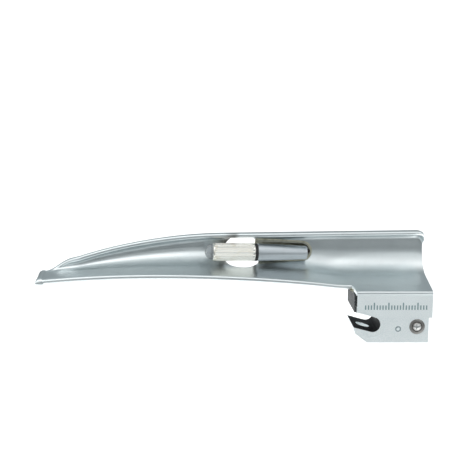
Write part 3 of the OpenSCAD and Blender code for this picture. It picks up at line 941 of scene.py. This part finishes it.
def build_stem():
    outer = [(0.7, -3.0), (1.85, -3.0), (1.9, -2.95), (1.9, CAP_FLOOR), (STEM_R, CAP_FLOOR)]
    outer += [(STEM_R, s) for s in span(-2.1, 3.9, 100)]
    outer += [(1.3, 4.0), (0.7, 4.0)]
    turned = revolve(outer, 72, closed=True, shape=stem_thread)
    return build("lamp_stem_thread", turned, "lamp", "contact_brass", "lamp_stem", LAMP_AXIS)


def build_washer():
    inside, outside, front, back = 1.45, 2.45, -0.8, -0.02
    section = [(inside, front), (outside, front), (outside, back), (inside, back)]
    ring = revolve(soften(section, 0.2, closed=True), 96, closed=True)
    return build("lamp_washer_ring", ring, "washer", "black_rubber", "lamp_washer", LAMP_AXIS)


def build_glass():
    """Bulb with a lens of thick glass at its front."""
    seat = CAP_FLOOR - 0.9
    front = CAP_FRONT - 0.2
    dome = [(GLASS_R * cosd(a), front - 2.0 * sind(a)) for a in span(0, 90, 20)]
    hollow = [(1.75 * cosd(a), front - 0.6 * sind(a)) for a in span(90, 0, 14)]
    profile = [(0, seat), (GLASS_R - 0.1, seat), (GLASS_R, seat - 0.1)] + dome
    outer = revolve(profile, 96)
    inner = revolve([*hollow, (1.75, seat - 1.2), (0, seat - 1.2)], 96)
    shift = len(outer[0])
    verts = outer[0] + inner[0]
    faces = outer[1] + [tuple(i + shift for i in face)[::-1] for face in inner[1]]
    return build("lamp_glass_bulb", (verts, faces), "lamp", "lamp_glass", "lamp_glass", LAMP_AXIS)


def build_filament():
    """Coiled filament between the two lead wires."""
    turns, steps = 9, 16
    half_length, coil_r = 0.45, 0.12
    line = [(-LEAD_GAP, 0, LEAD_FRONT)]
    for i in range(turns * steps + 1):
        a = 2 * math.pi * i / steps
        x = mix(-half_length, half_length, i / (turns * steps))
        line.append((x, coil_r * math.sin(a), LEAD_FRONT + coil_r * math.cos(a)))
    line.append((LEAD_GAP, 0, LEAD_FRONT))
    wire = rod_along(line, 0.028, 8)
    return build("lamp_filament_coil", wire, "lamp", "filament", "lamp_filament", LAMP_AXIS)


# ---- Springs and detents ----
BALL_R = 1.75
BALL_PROUD = 0.6
BALL_Y = TONGUE_T / 2 + BALL_PROUD - BALL_R


def detent_place(side):
    """Local +Z points out of the tongue's face on that side."""
    return (Matrix.Translation((DETENT_X, 0, DETENT_Z))
            @ Matrix.Rotation(math.radians(-90 * side), 4, "X"))


def build_sleeve(name, place):
    """Closed cup whose lip grips the ball just over its widest ring."""
    floor_y = TONGUE_T / 2 - SLEEVE_LEN
    mouth = TONGUE_T / 2
    r = BALL_R + 0.04
    low = math.degrees(math.asin((mouth - BALL_Y) / r))
    floor = [(0, floor_y), (SLEEVE_R, floor_y)]
    lip = [(SLEEVE_R, mouth - 0.18), (SLEEVE_R - 0.06, mouth - 0.05), (SLEEVE_R - 0.16, mouth)]
    grip = [(r * cosd(a), BALL_Y + r * sind(a)) for a in span(low, 0, 8)]
    bore = [(r, floor_y + 0.3), (0, floor_y + 0.3)]
    build(name + "_cup", revolve(floor + lip + grip + bore, 96), "frame", "spring_steel", name, place,
          material="sleeve_steel")


def build_detent(side, word):
    """Sleeve, ball and spring in one face of the tongue."""
    place = detent_place(side)
    build_sleeve("detent_sleeve_" + word, place)
    ball = [(BALL_R * cosd(a), BALL_Y + BALL_R * sind(a)) for a in span(-90, 90, 48)]
    build("detent_ball_" + word + "_polished", revolve(ball, 96), "ball_" + word, "bright_steel",
          "detent_ball_" + word, place, material="ball_steel")
    low = TONGUE_T / 2 - SLEEVE_LEN + 0.32
    high = BALL_Y - math.sqrt(BALL_R ** 2 - 1.2 ** 2) - 0.05
    wire = 0.15
    turned = rod_along(coil(1.25, low, high, 4, wire), wire, 12)
    spring = build("detent_spring_" + word + "_coil", turned, "frame", "spring_steel",
                   "detent_spring_" + word, place)
    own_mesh(spring)


def build_socket_spring():
    low, high, wire = 6.45, 10.55, 0.11
    turned = rod_along(coil(0.61, low, high, 8, wire), wire, 12)
    spring = build("socket_spring_coil", turned, "frame", "spring_steel", "socket_spring", LAMP_AXIS)
    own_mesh(spring)


# ---- Wire from the socket to the block ----
CONDUIT_R = 0.9
ROUTE = [
    (-16.2, 9.0, 17.3), (-14.6, 9.9, 17.1), (-11, 10.1, 16.5), (-6.5, 10.1, 15.4), (-2, 10.1, 13.8),
    (2, 10.1, 11.6), (5, 10.0, 8.6), (6.6, 9.6, 6.0), (7, 8.4, 4.5), (7, 7.2, 4.4),
]


def conduit_line():
    return glide(ROUTE, 10) + [Vector((CONTACT_X, 5.7, WIRE_Z))]


def build_wiring():
    tube = pipe_along(conduit_line(), CONDUIT_R, 0.6)
    build("wire_conduit_tube", tube, "frame", "satin_steel", "wire_conduit")
    start = [lamp_point(11.05), lamp_point(12.0), lamp_point(12.6) + Vector((0.1, 0.2, 0))]
    wire = start + conduit_line() + [Vector((CONTACT_X, 0.7, WIRE_Z))]
    sleeve = pipe_along(wire, 0.4, 0.22, 16)
    build("wire_insulation_sleeve", sleeve, "frame", "wire_jacket", "wire_insulation")


# ---- CAD nodes that stay, with a better finish ----
KEPT_NODES = {
    "socket_cradle": "smoked_steel", "cradle_braze": "braze", "socket_solder": "solder",
    "socket_insulator": "pale_insulator", "socket_contact_pin": "contact_brass",
    "lamp_glass_bead": "bead_glass", "lamp_lead_wires": "spring_steel", "lamp_insulator": "black_insulator",
    "lamp_tip_contact": "solder", "conduit_solder": "solder", "wire_core": "copper",
    "block_contact": "contact_brass", "contact_insulator": "black_insulator",
}


def dress_kept_nodes():
    for name, material in KEPT_NODES.items():
        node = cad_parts[name]
        node.data.materials.clear()
        node.data.materials.append(MATERIALS[material])


# ---- Stage ----
def build_floor():
    """Large pale disc, well below the part."""
    disc = [(3 * cosd(a), 2.95 + 3 * sind(a), -0.09) for a in span(0, 360, 96)[:-1]]
    mesh = bpy.data.meshes.new("floor")
    mesh.from_pydata(disc, [], [tuple(range(len(disc)))])
    floor = bpy.data.objects.new("floor", mesh)
    bpy.context.scene.collection.objects.link(floor)
    material, _, shader, _ = start_material("floor_paper", (0.92, 0.92, 0.92), 0.9, 0.0)
    shader.inputs["Emission Color"].default_value = (1, 1, 1, 1)
    shader.inputs["Emission Strength"].default_value = 0.7
    mesh.materials.append(material)


# Brightness of the studio round the blade's long axis, in degrees from the back horizon
# over the top to the front horizon at 180 and under it
STUDIO = [
    (0, (0.15, 0.165, 0.17)), (14, (0.25, 0.28, 0.29)), (30, (0.38, 0.43, 0.45)),
    (60, (0.38, 0.43, 0.45)), (80, (0.44, 0.49, 0.50)), (97, (0.66, 0.70, 0.71)),
    (108, (1.15, 1.18, 1.18)), (115, (1.75, 1.76, 1.76)), (124, (1.85, 1.85, 1.85)),
    (132, (1.32, 1.35, 1.35)), (142, (1.05, 1.09, 1.10)), (158, (0.96, 1.00, 1.01)),
    (169, (0.84, 0.88, 0.89)), (177, (0.42, 0.45, 0.46)), (186, (0.19, 0.21, 0.22)),
    (197, (0.17, 0.19, 0.20)), (206, (0.80, 0.84, 0.85)), (225, (1.38, 1.42, 1.42)),
    (250, (1.38, 1.42, 1.42)), (300, (0.55, 0.58, 0.58)), (345, (0.17, 0.19, 0.20)),
]
# The softbox stands further back and shines less towards the heel
HEEL_SKEW = 12
HEEL_DIM = 0.32
STUDIO_PEAK = 1.9


def studio_ramp(tree, y, z, skew):
    """Colour of STUDIO in each direction, turned by skew, a share of a turn."""
    ramp = tree.nodes.new("ShaderNodeValToRGB")
    stops = ramp.color_ramp.elements
    stops.remove(stops[1])
    for i, (angle, colour) in enumerate(STUDIO):
        stop = stops[0] if i == 0 else stops.new(angle / 360)
        stop.position = angle / 360
        stop.color = (*(c / STUDIO_PEAK for c in colour), 1)
    turn = calc(tree, "DIVIDE", calc(tree, "ARCTAN2", z, y), 2 * math.pi)
    tree.links.new(calc(tree, "FRACT", calc(tree, "ADD", turn, skew)), ramp.inputs[0])
    return ramp.outputs["Color"]


def dark_gap(tree, x, y, z):
    """1 in the gap in front, below the softbox's boom."""
    bearing = calc(tree, "ARCTAN2", x, calc(tree, "MULTIPLY", y, -1))
    sideways = calc(tree, "ABSOLUTE", calc(tree, "SUBTRACT", bearing, -0.02))
    near_middle = remap(tree, sideways, 0.10, 0.22, 1.0, 0.0)
    below_boom = remap(tree, z, 0.45, 0.70, 1.0, 0.0)
    return calc(tree, "MULTIPLY", near_middle, below_boom)


def gap_colour(tree, z):
    """Dark, with a paler strip of bench just over the horizon."""
    height = calc(tree, "ABSOLUTE", calc(tree, "SUBTRACT", z, 0.07))
    bench = remap(tree, height, 0.06, 0.16, 1.0, 0.0)
    return blend_colour(tree, bench, (0.06, 0.07, 0.072), (0.22, 0.24, 0.245))


def build_world():
    """A studio: softbox above the front, a dim back wall, and a dark gap where the camera stands."""
    world = bpy.data.worlds.new("studio")
    bpy.context.scene.world = world
    world.use_nodes = True
    tree = world.node_tree
    background = tree.nodes["Background"]
    coords = tree.nodes.new("ShaderNodeTexCoord")
    x, y, z = split(tree, coords.outputs["Generated"])
    overhead = remap(tree, z, 0.45, 0.65, 0.0, 1.0)
    towards_heel = calc(tree, "MULTIPLY", remap(tree, x, 0.02, 0.24, 0.0, 1.0), overhead)
    skew = calc(tree, "MULTIPLY_ADD", towards_heel, HEEL_SKEW / 360, 1)
    ramp = studio_ramp(tree, y, z, skew)
    lit = blend_colour(tree, dark_gap(tree, x, y, z), ramp, gap_colour(tree, z))
    dimmed = blend_colour(tree, calc(tree, "MULTIPLY", towards_heel, HEEL_DIM), lit, (0.0, 0.0, 0.0))
    rays = tree.nodes.new("ShaderNodeLightPath")
    seen = blend_colour(tree, rays.outputs["Is Camera Ray"], dimmed, (0.62, 0.62, 0.62))
    tree.links.new(seen, background.inputs["Color"])
    background.inputs["Strength"].default_value = STUDIO_PEAK


def build_camera():
    data = bpy.data.cameras.new("camera")
    camera = bpy.data.objects.new("camera", data)
    bpy.context.scene.collection.objects.link(camera)
    data.sensor_width = 36
    data.lens = 70.48
    data.clip_start, data.clip_end = 0.01, 100
    camera.location = (-0.0399, -0.23674, 0.06585)
    camera.rotation_euler = (math.radians(90 - 9.5), 0, 0)
    bpy.context.scene.camera = camera


build_blade()
build_block()
build_block_braze()
build_socket()
build_cap()
build_stem()
build_washer()
build_glass()
build_filament()
build_detent(-1, "front")
build_detent(1, "rear")
build_socket_spring()
build_wiring()
dress_kept_nodes()
build_floor()
build_world()
build_camera()
bpy.context.scene.view_settings.view_transform = "Standard"
